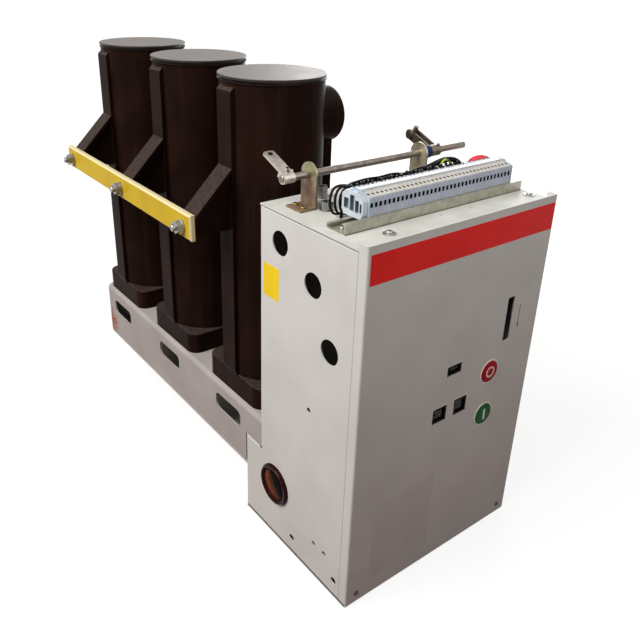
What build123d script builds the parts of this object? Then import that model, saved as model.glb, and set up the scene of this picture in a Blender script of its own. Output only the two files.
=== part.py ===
"""Vacuum circuit breaker: three insulating poles on a base channel, with the mechanism housing at its end.

Millimetres. +Z is up, +Y runs from the front cover back along the row of poles, and +X is the way the
terminals face. The origin is on the mounting plate's underside, below the middle pole's axis.
"""

import os
from math import asin, cos, radians, sin, tan

from build123d import *

# Row of poles
phase_spacing = 210.0
pole_count = 3
pole_behind_housing = 96.0

# Base channel and the plate that closes its underside
channel_width = 167.0
channel_height = 110.0
channel_sheet = 3.0
channel_past_last_pole = 87.0
channel_edge_radius = 8.0
channel_corner_radius = 18.0
channel_side_gap = 2.5
channel_slot_length = 77.0
channel_slot_height = 30.0
channel_slot_radius = 10.0
channel_slot_centre = 73.0
channel_slot_past_pole = 3.0
end_slit_width = 3.5
end_slit_length = 14.0
end_slit_from_end = 26.0
end_slit_centre = 57.0
plate_thickness = 4.0
fixing_hole_radius = 6.5
fixing_spacing_x = 120.0
fixing_spacing_y = 440.0

# Mechanism housing
housing_width = 350.0
housing_height = 557.0
housing_drop = 87.0
housing_beside_channel = 1.0
housing_depth_above = 215.0
housing_step_depth = 41.0
housing_step_height = 147.0
housing_sheet = 2.0
panel_flange = 15.0
panel_bend_radius = 3.0
step_relief_radius = 4.0
cover_depth = 16.0
cover_above_top_plate = 9.0
cover_edge_radius = 3.0

# Openings in the housing's left side, as distance from the front and height above the housing's bottom
side_hole_radius = 17.5
side_holes = [(168.5, 505.0), (97.0, 472.0), (59.5, 393.5)]
screw_hole_radius = 5.5
screw_holes = [(129.5, 29.0), (28.5, 29.0)]
small_hole_radius = 4.0
small_holes = [(97.5, 284.0), (76.0, 61.0), (52.0, 61.0)]
plug_place = (174.5, 102.5)
plug_hole_radius = 26.0
plug_radius = 34.0
plug_height = 11.0
plug_rim = 3.0

# Front cover's cut-outs, as distance from the left edge and height above the bottom
button_radius = 20.0
button_clearance = 0.5
button_proud = 2.5
button_thickness = 9.0
button_stem_radius = 6.0
button_stem_length = 34.0
open_button_place = (254.0, 305.5)
close_button_place = (254.0, 232.0)
slot_place = (281.5, 383.0)
slot_width = 14.5
slot_length = 70.0
counter_window = (175.0, 337.0, 24.0, 11.0)
spring_window = (154.5, 270.5, 23.0, 20.0)
contact_window = (196.5, 270.5, 21.5, 21.5)
window_overlap = 4.0
window_thickness = 1.5
indicator_behind = 5.0
indicator_thickness = 6.0

# Pole
foot_half_width = 76.5
foot_half_depth = 78.0
foot_height = 38.0
foot_corner_radius = 20.0
foot_edge_radius = 3.0
body_radius = 76.0
collar_radius = 77.7
collar_height = 9.0
cap_thickness = 3.0
cap_neck_radius = 70.0
cap_neck_height = 4.5
pole_top = 612.5
rib_reach = 80.5
rib_width = 36.0
rib_chamfer = 5.5
rib_below_top = 19.0
rib_taper = 8.0
arm_bend = 487.5
arm_slope = 45.0
arm_reach = 144.5
arm_tip_length = 28.0
arm_web_width = 24.0
arm_flange = 5.0
boss_radius = 41.5
boss_reach = 105.5
boss_edge_radius = 5.0
upper_terminal = 544.5
terminal_spacing = 275.0
terminal_web_reach = 99.5
contact_radius = 25.0
contact_clearance = 0.1
contact_length = 42.0
contact_proud = 2.0
contact_thread_radius = 5.1
contact_thread_depth = 30.0

# Tie bar across the arms
bar_thickness = 8.0
bar_height = 38.0
bar_below_arm = 0.5
bar_past_pole = 23.0
bar_chamfer = 2.5
bolt_above_bar_bottom = 17.5
bolt_radius = 5.0
bolt_clearance = 0.5
bolt_depth = 22.0
bolt_proud = 17.0
washer_radius = 10.0
washer_thickness = 2.5
nut_flats = 17.0
nut_thickness = 8.5

# Interlock shaft on the top plate, from the front cover's left front corner
shaft_from_front = 167.0
shaft_above_plate = 44.5
shaft_radius = 5.0
shaft_past_left = 1.0
shaft_short_of_right = 11.0
shaft_clearance = 0.05
cross_hole_radius = 1.6
cross_holes_from_left = (64.0, 330.0)
bracket_width = 32.0
bracket_sheet = 3.0
bracket_foot = 27.0
bracket_faces = (43.0, 243.0)
bracket_screw_radius = 4.0
bracket_screw_head = 3.2
bracket_screw_spacing = 17.0
bracket_screw_inset = 10.0
lever_angle = 22.0
left_hub_radius = 7.0
lever_hub_start = 0.5
lever_width = 17.0
lever_sheet = 3.0
lever_length = 50.0
lever_hole_radius = 3.2
lever_hole_from_tip = 6.5
lever_ear_reach = 13.0
right_hub_radius = 8.5
right_hub_past_cheeks = 4.0
clamp_screw_radius = 2.0
clamp_screw_proud = 4.5
bush_radius = 9.5
bush_length = 17.0
bush_gap = 0.5
fork_gap = 10.0
fork_sheet = 2.5
fork_height = 14.0
fork_pin_radius = 3.0

# Terminal rail and strip, from the front cover's left front corner
rail_from_front = 59.5
rail_start = 15.5
rail_short_of_right = 3.0
rail_width = 34.0
rail_front_height = 14.0
rail_rear_height = 7.0
rail_lip = 5.0
rail_sheet = 1.5
strip_from_front = 64.0
strip_start = 57.0
terminal_count = 36
terminal_pitch = 7.4
strip_depth = 42.0
strip_height = 24.0
strip_shoulder = 8.0
strip_rise = 6.0
entry_width = 4.2
entry_height = 5.0
entry_depth = 4.0
entry_drop = 7.0
clamp_thickness = 9.5
end_plate_thickness = 3.0
clamp_height = 33.0

# Mushroom button at the right-hand end of the top plate
mushroom_from_right = 12.0
mushroom_from_front = 128.5
mushroom_radius = 20.0
mushroom_dome = 12.0
mushroom_rim = 5.0
mushroom_stem_radius = 6.0
mushroom_stroke = 5.0
mushroom_clearance = 0.3
mushroom_base_radius = 11.5
mushroom_base_height = 15.0

# Tie studs on the top plate behind the left bracket, each with its place and height
studs = [(56.5, 144.0, 12.0), (84.0, 190.0, 16.0)]
stud_flats = 15.0
stud_washer_radius = 9.5
stud_washer_thickness = 1.5
stud_bore_radius = 4.5

# Wires gathered behind the terminals
wire_bundle_radius = 6.0
wire_bundle_bend = 14.0
wire_bundle_height = 27.0
wire_arch_height = 36.0
wire_arch_length = 35.0

# Places worked out from the sizes
row_middle = (pole_count - 1) / 2
pole_places = [(number - row_middle) * phase_spacing for number in range(pole_count)]
rear_above = pole_places[0] - pole_behind_housing
rear_below = rear_above + housing_step_depth
front = rear_above - housing_depth_above
left = -channel_width / 2 - housing_beside_channel
right = left + housing_width
bottom = -housing_drop
top_plate_top = bottom + housing_height - cover_above_top_plate
step = bottom + housing_step_height
channel_far_end = pole_places[-1] + channel_past_last_pole
cover_back = front + cover_depth
shaft_y = front + shaft_from_front
elbow = arm_bend - (arm_reach - rib_reach) * tan(radians(arm_slope))
arm_foot = elbow - arm_tip_length
bar_bottom = arm_foot - bar_below_arm
bolt_height = bar_bottom + bolt_above_bar_bottom
shaft_z = top_plate_top + shaft_above_plate
strip_length = terminal_count * terminal_pitch
strip_right = left + strip_start + strip_length
mushroom_x = right - mushroom_from_right
mushroom_y = front + mushroom_from_front
buttons = (open_button_place, close_button_place)
windows = (counter_window, spring_window, contact_window)
BASE = (Align.CENTER, Align.CENTER, Align.MIN)


def block(x, y, z):
    """A box from the first to the second place on each axis."""
    middle = [(low + high) / 2 for low, high in (x, y, z)]
    return Pos(*middle) * Box(x[1] - x[0], y[1] - y[0], z[1] - z[0])


def rod(start, direction, radius, length):
    """A round bar that runs from start along direction."""
    return Plane(start, z_dir=direction) * Cylinder(radius, length, align=BASE)


def profile(plane, points):
    """A flat face with straight sides through points."""
    return plane * make_face(Polyline(*points, close=True))


def crown(radius, start, top):
    """The arc over a dome: from its rim at start to its summit at top, level at the summit."""
    rise = top - start
    sphere = (radius**2 + rise**2) / (2 * rise)
    half = asin(radius / sphere) / 2
    middle = (sphere * sin(half), top - sphere + sphere * cos(half))
    return ThreePointArc((radius, start), middle, (0, top))


def on_panel(place):
    """Where a place on the front cover lies, from its distance to the left edge and the bottom."""
    return left + place[0], bottom + place[1]


def base_channel():
    """An inverted trough of folded sheet, notched to sit on the housing's step."""
    half = channel_width / 2
    trough = block((-half, half), (rear_above, channel_far_end), (plate_thickness, channel_height))
    corners = trough.edges().filter_by(Axis.Z).group_by(Axis.Y)[-1]
    trough = fillet(corners, channel_corner_radius)
    rim = trough.faces().sort_by(Axis.Z)[-1].edges()
    near = rim.sort_by(Axis.Y)[0]
    trough = fillet([edge for edge in rim if edge != near], channel_edge_radius)
    wall = channel_sheet
    hollow = block(
        (-half + wall, half - wall),
        (rear_above - channel_edge_radius, channel_far_end - wall),
        (plate_thickness - wall, channel_height - wall),
    )
    corners = hollow.edges().filter_by(Axis.Z).group_by(Axis.Y)[-1]
    hollow = fillet(corners, channel_corner_radius - wall)
    trough -= fillet(hollow.faces().sort_by(Axis.Z)[-1].edges(), channel_edge_radius - wall)
    cut_back = rear_below + channel_side_gap
    trough -= block((-channel_width, channel_width), (rear_above - wall, cut_back), (-channel_height, step))
    opening = RectangleRounded(channel_slot_length, channel_slot_height, channel_slot_radius)
    cuts = [(place + channel_slot_past_pole, channel_slot_centre, opening) for place in pole_places]
    slit = SlotOverall(end_slit_length, end_slit_width, rotation=90)
    cuts.append((channel_far_end - end_slit_from_end, end_slit_centre, slit))
    for y, z, cut in cuts:
        trough -= extrude(Plane.YZ * Pos(y, z) * cut, channel_width, both=True)
    return trough


def mounting_plate():
    """The flat plate under the channel that is bolted down."""
    half = channel_width / 2
    plate = block((-half, half), (rear_below, channel_far_end), (0, plate_thickness))
    plate = fillet(plate.edges().filter_by(Axis.Z).group_by(Axis.Y)[-1], channel_corner_radius)
    for x in (-fixing_spacing_x / 2, fixing_spacing_x / 2):
        for y in (-fixing_spacing_y / 2, fixing_spacing_y / 2):
            plate -= rod((x, y, 0), (0, 0, 1), fixing_hole_radius, plate_thickness)
    return plate


def arm():
    """The arm that slopes from the left rib to the tie bar: a wide flange on a narrower web."""
    slope = tan(radians(arm_slope))
    inner_drop = arm_flange / cos(radians(arm_slope))
    inside = -body_radius / 2
    edge = [(-rib_reach, arm_bend), (-arm_reach, elbow), (-arm_reach, arm_foot)]
    web = profile(Plane.XZ, edge + [(inside, arm_foot), (inside, arm_bend)])
    under_elbow = elbow + arm_flange * slope - inner_drop
    under = [(-arm_reach + arm_flange, arm_foot), (-arm_reach + arm_flange, under_elbow)]
    skin = profile(Plane.XZ, edge + under + [(-rib_reach, arm_bend - inner_drop)])
    return extrude(web, arm_web_width / 2, both=True) + extrude(skin, rib_width / 2, both=True)


def pole():
    """One insulating pole about the Z axis, with its foot on the channel's top."""
    seat = channel_height
    foot_outline = RectangleRounded(2 * foot_half_width, 2 * foot_half_depth, foot_corner_radius)
    foot = extrude(foot_outline, foot_height)
    foot = fillet(foot.faces().sort_by(Axis.Z)[-1].edges(), foot_edge_radius)
    ledge = seat + foot_height
    collar = pole_top - collar_height
    outline = [
        (0, seat),
        (body_radius, seat),
        (body_radius, collar),
        (collar_radius, collar + collar_radius - body_radius),
        (collar_radius, pole_top - cap_thickness - cap_neck_height),
        (0, pole_top - cap_thickness - cap_neck_height),
    ]
    solid = Pos(0, 0, seat) * foot + revolve(profile(Plane.XZ, outline), Axis.Z)
    rib_top = pole_top - rib_below_top
    rib = [
        (-foot_half_width, ledge - foot_height / 2),
        (-foot_half_width, ledge - foot_edge_radius),
        (-rib_reach, ledge + rib_taper),
        (-rib_reach, rib_top),
        (-rib_reach + rib_chamfer, rib_top + rib_chamfer),
        (-body_radius / 2, rib_top + rib_chamfer),
        (-body_radius / 2, ledge - foot_height / 2),
    ]
    solid += extrude(profile(Plane.XZ, rib), rib_width / 2, both=True)
    solid += arm()
    lower_terminal = upper_terminal - terminal_spacing
    bosses = []
    for height in (upper_terminal, lower_terminal):
        boss = rod((0, 0, height), (1, 0, 0), boss_radius, boss_reach)
        bosses.append(fillet(boss.edges().sort_by(Axis.X)[-1], boss_edge_radius))
    solid += bosses[0] + bosses[1]
    solid += block((0, terminal_web_reach), (-rib_width / 2, rib_width / 2), (lower_terminal, upper_terminal))
    bore_start = boss_reach + contact_proud - contact_length
    for height in (upper_terminal, lower_terminal):
        bore = contact_radius + contact_clearance
        solid -= rod((bore_start, 0, height), (1, 0, 0), bore, contact_length)
    stud_hole = bolt_radius + contact_clearance
    solid -= rod((-arm_reach, 0, bolt_height), (1, 0, 0), stud_hole, bolt_depth)
    return solid


def pole_cap():
    """The thin round cap on a pole, with the neck it stands on."""
    neck_start = pole_top - cap_thickness - cap_neck_height
    neck = Pos(0, 0, neck_start) * Cylinder(cap_neck_radius, cap_neck_height, align=BASE)
    disc = Pos(0, 0, pole_top - cap_thickness) * Cylinder(collar_radius, cap_thickness, align=BASE)
    disc = fillet(disc.edges().sort_by(Axis.Z)[-1], cap_thickness / 3)
    return neck + disc


def terminal_contact(height):
    """A round copper contact with a blind threaded hole, seated in a pole's boss."""
    tip = boss_reach + contact_proud
    contact = rod((tip - contact_length, 0, height), (1, 0, 0), contact_radius, contact_length)
    contact = chamfer(contact.edges().sort_by(Axis.X)[-1], 1.0)
    return contact - rod((tip, 0, height), (-1, 0, 0), contact_thread_radius, contact_thread_depth)


def tie_bar():
    """The flat bar bolted across the three arms."""
    ends = (pole_places[0] - bar_past_pole, pole_places[-1] + bar_past_pole)
    bar = block((-arm_reach - bar_thickness, -arm_reach), ends, (bar_bottom, bar_bottom + bar_height))
    bar = chamfer(bar.faces().sort_by(Axis.X)[0].edges(), bar_chamfer)
    for place in pole_places:
        start = (-arm_reach, place, bolt_height)
        bar -= rod(start, (-1, 0, 0), bolt_radius + bolt_clearance, bar_thickness)
    return bar


def tie_bolt():
    """A stud set in the arm, with its washer and nut on the bar's outer face."""
    face = -arm_reach - bar_thickness
    length = bolt_proud + bar_thickness + bolt_depth
    stud = rod((face - bolt_proud, 0, bolt_height), (1, 0, 0), bolt_radius, length)
    stud = chamfer(stud.edges().sort_by(Axis.X)[0], 1.0)
    washer = rod((face, 0, bolt_height), (-1, 0, 0), washer_radius, washer_thickness)
    seat = Plane((face - washer_thickness, 0, bolt_height), z_dir=(-1, 0, 0))
    nut = extrude(seat * RegularPolygon(nut_flats / 2, 6, major_radius=False), nut_thickness)
    return stud + washer + nut


def side_outline(inset):
    """The side's stepped outline, drawn in by inset along all its edges but the open front one."""
    low = bottom + housing_sheet + inset
    high = top_plate_top - housing_sheet - inset
    return [
        (cover_back - inset, low),
        (rear_below - inset, low),
        (rear_below - inset, step - inset),
        (rear_above - inset, step - inset),
        (rear_above - inset, high),
        (cover_back - inset, high),
    ]


def side_panel():
    """A plain folded side of the housing, on the left, with inward flanges on every edge but the front."""
    outer = extrude(profile(Plane.YZ.offset(left), side_outline(0)), panel_flange)
    bends = outer.edges().filter_by_position(Axis.X, left - 1, left + 1)
    bends = bends.filter_by(lambda edge: edge.center().Y > cover_back + 1)
    outer = fillet(bends, panel_bend_radius)
    inner = profile(Plane.YZ.offset(left + housing_sheet), side_outline(housing_sheet))
    return outer - extrude(inner, panel_flange)


def left_side_panel():
    """The left side, with its round openings, its plug hole and the relief hole at the step."""
    panel = side_panel()
    through = 2 * housing_sheet
    holes = (
        (side_hole_radius, side_holes),
        (screw_hole_radius, screw_holes),
        (small_hole_radius, small_holes),
        (plug_hole_radius, [plug_place]),
    )
    for radius, places in holes:
        for y, z in places:
            panel -= rod((left - 1, front + y, bottom + z), (1, 0, 0), radius, through)
    panel -= rod((left - 1, rear_above, step), (1, 0, 0), step_relief_radius, through)
    return panel


def right_side_panel():
    """The right side is the left one's mirror image, with no openings."""
    return mirror(side_panel(), Plane.YZ.offset((left + right) / 2))


def hole_plug():
    """The domed plug pressed into the left side."""
    y, z = plug_place
    seat = (left, front + y, bottom + z)
    outline = [
        (0, -housing_sheet - 6),
        (plug_hole_radius - 0.3, -housing_sheet - 6),
        (plug_hole_radius - 0.3, 0),
        (plug_radius, 0),
        (plug_radius, plug_rim),
    ]
    edge = Polyline(*outline) + crown(plug_radius, plug_rim, plug_height) + Line((0, plug_height), outline[0])
    return Plane(seat, z_dir=(-1, 0, 0)) * revolve(Plane.XZ * make_face(edge), Axis.Z)


def top_plate():
    """The plate over the side panels, with a tongue that reaches forward between the cover's flanges."""
    z = (top_plate_top - housing_sheet, top_plate_top)
    plate = block((left, right), (cover_back, rear_above), z)
    inset = housing_sheet + 0.3
    tongue = block((left + inset, right - inset), (front + housing_sheet, cover_back + 1), z)
    return plate + tongue


def back_plate():
    """The housing's stepped back, set between the side panels' flanges."""
    sheet = housing_sheet
    points = [
        (rear_above, top_plate_top - sheet),
        (rear_above, step),
        (rear_below, step),
        (rear_below, bottom + sheet),
        (rear_below - sheet, bottom + sheet),
        (rear_below - sheet, step - sheet),
        (rear_above - sheet, step - sheet),
        (rear_above - sheet, top_plate_top - sheet),
    ]
    width = housing_width - 2 * panel_flange
    return extrude(profile(Plane.YZ.offset(left + panel_flange), points), width)


def bottom_plate():
    """The plate under the side panels."""
    return block((left, right), (cover_back, rear_below), (bottom, bottom + housing_sheet))


def front_cover():
    """The shallow tray, open at its top, that closes the front, with its openings."""
    sheet = housing_sheet
    height = bottom + housing_height
    tray = block((left, right), (front, cover_back), (bottom, height))
    bends = tray.faces().sort_by(Axis.Y)[0].edges().sort_by(Axis.Z)[:-1]
    tray = fillet(bends, cover_edge_radius)
    across = (left + sheet, right - sheet)
    tray -= block(across, (front + sheet, cover_back + 1), (bottom + sheet, height + 1))
    for place in buttons:
        x, z = on_panel(place)
        tray -= rod((x, front - 1, z), (0, 1, 0), button_radius + button_clearance, 2 * sheet)
    x, z = on_panel(slot_place)
    cut = Pos(x, front, z) * Rot(90, 0, 0) * RectangleRounded(slot_width, slot_length, 2.0)
    tray -= extrude(cut, 2 * sheet, both=True)
    for place in windows:
        x, z = on_panel(place)
        cut = Pos(x, front, z) * Rot(90, 0, 0) * RectangleRounded(place[2], place[3], 1.0)
        tray -= extrude(cut, 2 * sheet, both=True)
    return tray


def push_button(place):
    """A flat round button with its stem, standing a little proud of the cover."""
    x, z = on_panel(place)
    disc = rod((x, front - button_proud, z), (0, 1, 0), button_radius, button_thickness)
    disc = fillet(disc.edges().sort_by(Axis.Y)[0], 1.2)
    start = front - button_proud + button_thickness
    return disc + rod((x, start, z), (0, 1, 0), button_stem_radius, button_stem_length)


def button_guide(place):
    """The short sleeve inside the cover that guides a button."""
    x, z = on_panel(place)
    start = (x, front + housing_sheet, z)
    length = cover_depth
    bore = button_radius + button_clearance
    return rod(start, (0, 1, 0), bore + 3.0, length) - rod(start, (0, 1, 0), bore, length)


def window_pane(place):
    """A clear pane that lies against the cover's inner face."""
    x, z = on_panel(place)
    half_width = place[2] / 2 + window_overlap
    half_height = place[3] / 2 + window_overlap
    y = front + housing_sheet
    across = (x - half_width, x + half_width)
    return block(across, (y, y + window_thickness), (z - half_height, z + half_height))


def indicator(place):
    """A flag box held by legs behind its pane."""
    x, z = on_panel(place)
    y = front + housing_sheet + window_thickness
    half_width = place[2] / 2 + window_overlap
    half_height = place[3] / 2 + window_overlap
    outer = ((x - half_width, x + half_width), (z - half_height, z + half_height))
    box = block(outer[0], (y, y + indicator_behind + indicator_thickness), outer[1])
    well = block(
        (x - place[2] / 2, x + place[2] / 2),
        (y, y + indicator_behind),
        (z - place[3] / 2, z + place[3] / 2),
    )
    return box - well


def interlock_shaft():
    """The round shaft across the top plate."""
    start = (left - shaft_past_left, shaft_y, shaft_z)
    shaft = rod(start, (1, 0, 0), shaft_radius, housing_width + shaft_past_left - shaft_short_of_right)
    shaft = chamfer(shaft.edges().filter_by(GeomType.CIRCLE), 0.8)
    for x in cross_holes_from_left:
        middle = (left + x, shaft_y, shaft_z - shaft_radius - 1)
        shaft -= rod(middle, (0, 0, 1), cross_hole_radius, 2 * shaft_radius + 2)
    return shaft


def on_shaft(shape, x):
    """Puts a shape drawn about the X axis at its place along the shaft, turned to the lever's angle."""
    return Pos(left + x, shaft_y, shaft_z) * Rot(lever_angle, 0, 0) * shape


def left_lever():
    """A flat strip with a tip hole, on a split hub whose ear is drawn together by two screws."""
    radius = left_hub_radius
    hub = rod((0, 0, 0), (1, 0, 0), radius, lever_width)
    strip = block((0, lever_width), (0, lever_length), (radius - lever_sheet, radius))
    strip = fillet(strip.edges().filter_by(Axis.Z).group_by(Axis.Y)[-1], 4.0)
    hole = lever_length - lever_hole_from_tip
    strip -= rod((lever_width / 2, hole, 0), (0, 0, 1), lever_hole_radius, 2 * radius)
    ear = block((lever_sheet, lever_width), (0, lever_ear_reach), (-radius + 1.5, radius - 1))
    lever = hub + strip + ear
    for y, z in ((lever_ear_reach - 4, 3.0), (lever_ear_reach - 3, -2.5)):
        start = (lever_width - 1, y, z)
        lever += rod(start, (1, 0, 0), clamp_screw_radius, clamp_screw_proud + 1)
    lever -= rod((-1, 0, 0), (1, 0, 0), shaft_radius, lever_width + 2)
    return on_shaft(lever, lever_hub_start)


def right_lever_start():
    """Where the right lever's hub starts: past the right bracket and the bush."""
    return bracket_faces[1] + bracket_sheet + bush_gap + bush_length


def right_lever():
    """Two cheeks on a hub, joined by a pin near their tip, that carry the link's end."""
    width = fork_gap + 2 * fork_sheet
    hub_length = width + right_hub_past_cheeks
    lever = rod((0, 0, 0), (1, 0, 0), right_hub_radius, hub_length)
    half = fork_height / 2
    for start in (0, width - fork_sheet):
        cheek = Rectangle(lever_length + 2, fork_height, align=(Align.MIN, Align.CENTER))
        cheek = fillet(cheek.vertices().group_by(Axis.X)[-1], half - 0.5)
        lever += extrude(Plane.YZ.offset(start) * cheek, fork_sheet)
    pin = rod((-3.5, lever_length - half, 0), (1, 0, 0), fork_pin_radius, width + 7)
    head = rod((-3.5, lever_length - half, 0), (1, 0, 0), fork_pin_radius + 2.5, 3.5)
    link = rod((width / 2, lever_length - half, -half), (0, 0, 1), 3.5, fork_height + 6)
    lever += pin + head + link
    screw_start = right_hub_radius - 1
    lever += rod((hub_length - 3, 0, screw_start), (0, 0, 1), clamp_screw_radius, 3.0)
    lever -= rod((-1, 0, 0), (1, 0, 0), shaft_radius, hub_length + 2)
    return on_shaft(lever, right_lever_start())


def shaft_bush():
    """The plastic bush between the right bracket and the right lever."""
    start = (left + bracket_faces[1] + bracket_sheet + bush_gap, shaft_y, shaft_z)
    bush = rod(start, (1, 0, 0), bush_radius, bush_length)
    bush = fillet(bush.edges().filter_by(GeomType.CIRCLE), 1.0)
    return bush - rod(start, (1, 0, 0), shaft_radius, bush_length)


def bracket(face):
    """An angle with a round-topped upright that carries the shaft; its foot points left."""
    x = left + face
    half = bracket_width / 2
    low = top_plate_top
    upright = block((x, x + bracket_sheet), (shaft_y - half, shaft_y + half), (low, shaft_z))
    upright += rod((x, shaft_y, shaft_z), (1, 0, 0), half, bracket_sheet)
    foot = block(
        (x + bracket_sheet - bracket_foot, x + bracket_sheet / 2),
        (shaft_y - half, shaft_y + half),
        (low, low + bracket_sheet),
    )
    angle = upright + foot
    angle -= rod((x - 1, shaft_y, shaft_z), (1, 0, 0), shaft_radius + shaft_clearance, bracket_sheet + 2)
    return angle


def bracket_screws(face):
    """Two pan-head screws on a bracket's foot."""
    x = left + face + bracket_sheet - bracket_foot + bracket_screw_inset
    z = top_plate_top + bracket_sheet
    screws = []
    for side in (-1, 1):
        y = shaft_y + side * bracket_screw_spacing / 2
        head = rod((x, y, z), (0, 0, 1), bracket_screw_radius, bracket_screw_head)
        screws.append(fillet(head.edges().sort_by(Axis.Z)[-1], bracket_screw_head / 2))
    return screws


def terminal_rail():
    """A folded rail with a high front leg, a low rear leg and a lip on each."""
    y = front + rail_from_front
    z = top_plate_top
    sheet = rail_sheet
    far = y + rail_width
    points = [
        (y, z),
        (far, z),
        (far, z + rail_rear_height),
        (far - rail_lip, z + rail_rear_height),
        (far - rail_lip, z + rail_rear_height - sheet),
        (far - sheet, z + rail_rear_height - sheet),
        (far - sheet, z + sheet),
        (y + sheet, z + sheet),
        (y + sheet, z + rail_front_height - sheet),
        (y + rail_lip, z + rail_front_height - sheet),
        (y + rail_lip, z + rail_front_height),
        (y, z + rail_front_height),
    ]
    length = housing_width - rail_start - rail_short_of_right
    return extrude(profile(Plane.YZ.offset(left + rail_start), points), length)


def rail_foot(y, z):
    """The part of an outline that stands between the rail's lips, on its floor."""
    foot = top_plate_top + rail_sheet
    reach = front + rail_from_front + rail_width - rail_lip
    return [(reach - 1, z), (reach - 1, foot), (y + 8, foot), (y + 8, z)]


def strip_outline(y, z):
    """The terminals' outline: upright faces, sloped shoulders and a raised middle."""
    far = y + strip_depth
    high = z + strip_height
    return [
        (y, z),
        (y, high),
        (y + strip_shoulder, high + strip_rise / 2),
        (y + strip_shoulder + 2, high + strip_rise),
        (far - strip_shoulder - 2, high + strip_rise),
        (far - strip_shoulder, high + strip_rise / 2),
        (far, high),
        (far, z),
    ] + rail_foot(y, z)


def terminal_strip():
    """The row of clamped terminals, with a wire entry in front of each."""
    y = front + strip_from_front
    z = top_plate_top + rail_front_height
    x = left + strip_start
    strip = extrude(profile(Plane.YZ.offset(x), strip_outline(y, z)), strip_length)
    entry_top = z + strip_height - entry_drop
    for number in range(terminal_count):
        middle = x + (number + 0.5) * terminal_pitch
        across = (middle - entry_width / 2, middle + entry_width / 2)
        strip -= block(across, (y - 1, y + entry_depth), (entry_top - entry_height, entry_top))
    return strip


def end_clamps():
    """The broad clamp on the left and the slender plate on the right that hold the terminals together."""
    y = front + strip_from_front
    z = top_plate_top + rail_front_height
    strip_left = left + strip_start
    clamps = []
    ends = (
        (strip_left - clamp_thickness, strip_left),
        (strip_right, strip_right + end_plate_thickness),
    )
    for start, end in ends:
        points = [
            (y + 1, z),
            (y + 1, z + strip_height - 2),
            (y + strip_shoulder, z + clamp_height - 2),
            (y + strip_depth - strip_shoulder, z + clamp_height - 2),
            (y + strip_depth - 1, z + strip_height - 2),
            (y + strip_depth - 1, z),
        ] + rail_foot(y, z)
        clamps.append(extrude(profile(Plane.YZ.offset(start), points), end - start))
    return clamps


def mushroom_button():
    """The mushroom head and its stem."""
    under = top_plate_top + mushroom_base_height + mushroom_stroke + 1.0
    rim = [(0, 0), (mushroom_radius - 1.5, 0), (mushroom_radius, 1.5), (mushroom_radius, mushroom_rim)]
    summit = mushroom_rim + mushroom_dome
    edge = Polyline(*rim) + crown(mushroom_radius, mushroom_rim, summit) + Line((0, summit), (0, 0))
    head = revolve(Plane.XZ * make_face(edge), Axis.Z)
    place = (mushroom_x, mushroom_y, under)
    return Pos(place) * head + rod(place, (0, 0, -1), mushroom_stem_radius, mushroom_base_height - 1.0)


def mushroom_base():
    """The collar that guides the mushroom button's stem."""
    seat = (mushroom_x, mushroom_y, top_plate_top)
    collar = rod(seat, (0, 0, 1), mushroom_base_radius, mushroom_base_height)
    collar = chamfer(collar.edges().sort_by(Axis.Z)[-1], 1.5)
    bore = mushroom_stem_radius + mushroom_clearance
    return collar - Pos(0, 0, 1.0) * rod(seat, (0, 0, 1), bore, mushroom_base_height)


def plate_studs():
    """Two six-sided tie studs with flanged feet and threaded bores."""
    shapes = []
    for x, y, height in studs:
        stud = extrude(RegularPolygon(stud_flats / 2, 6, major_radius=False), height)
        stud += Cylinder(stud_washer_radius, stud_washer_thickness, align=BASE)
        stud -= Pos(0, 0, 1) * Cylinder(stud_bore_radius, height, align=BASE)
        shapes.append(Pos(left + x, front + y, top_plate_top) * stud)
    return shapes


def wire_bundle():
    """The bundle of wires against the terminals' rear, which dives into the top plate at both ends."""
    y = front + strip_from_front + strip_depth + wire_bundle_radius
    low = top_plate_top
    start = left + strip_start + wire_bundle_radius
    end = strip_right - wire_bundle_bend
    arch = end - wire_arch_length
    points = [
        (start, y, low),
        (start, y, low + wire_bundle_height),
        (arch - wire_arch_length, y, low + wire_bundle_height),
        (arch, y, low + wire_arch_height),
        (end, y, low + wire_arch_height),
        (end, y, low),
    ]
    route = FilletPolyline(*points, radius=wire_bundle_bend)
    return sweep(Plane(points[0]) * Circle(wire_bundle_radius), path=route)


def at_poles(shape):
    """Copies of a shape, one at each pole."""
    return [Pos(0, place, 0) * shape for place in pole_places]


screws = [bracket_screws(face) for face in bracket_faces]
parts = {
    "base_channel": base_channel(),
    "mounting_plate": mounting_plate(),
    "left_side_panel": left_side_panel(),
    "right_side_panel": right_side_panel(),
    "top_plate": top_plate(),
    "back_plate": back_plate(),
    "bottom_plate": bottom_plate(),
    "front_cover": front_cover(),
    "hole_plug": hole_plug(),
    "tie_bar": tie_bar(),
    "open_button": push_button(open_button_place),
    "close_button": push_button(close_button_place),
    "button_guides": Compound([button_guide(place) for place in buttons]),
    "window_panes": Compound([window_pane(place) for place in windows]),
    "operation_counter": indicator(counter_window),
    "spring_indicator": indicator(spring_window),
    "contact_indicator": indicator(contact_window),
    "interlock_shaft": interlock_shaft(),
    "left_lever": left_lever(),
    "right_lever": right_lever(),
    "shaft_bush": shaft_bush(),
    "left_bracket": bracket(bracket_faces[0]),
    "right_bracket": bracket(bracket_faces[1]),
    "bracket_screws": Compound(sum(screws, [])),
    "terminal_rail": terminal_rail(),
    "terminal_strip": terminal_strip(),
    "end_clamps": Compound(end_clamps()),
    "mushroom_button": mushroom_button(),
    "mushroom_base": mushroom_base(),
    "plate_studs": Compound(plate_studs()),
    "wire_bundle": wire_bundle(),
}
repeated = {
    "pole": pole(),
    "pole_cap": pole_cap(),
    "upper_contact": terminal_contact(upper_terminal),
    "lower_contact": terminal_contact(upper_terminal - terminal_spacing),
}
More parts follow.
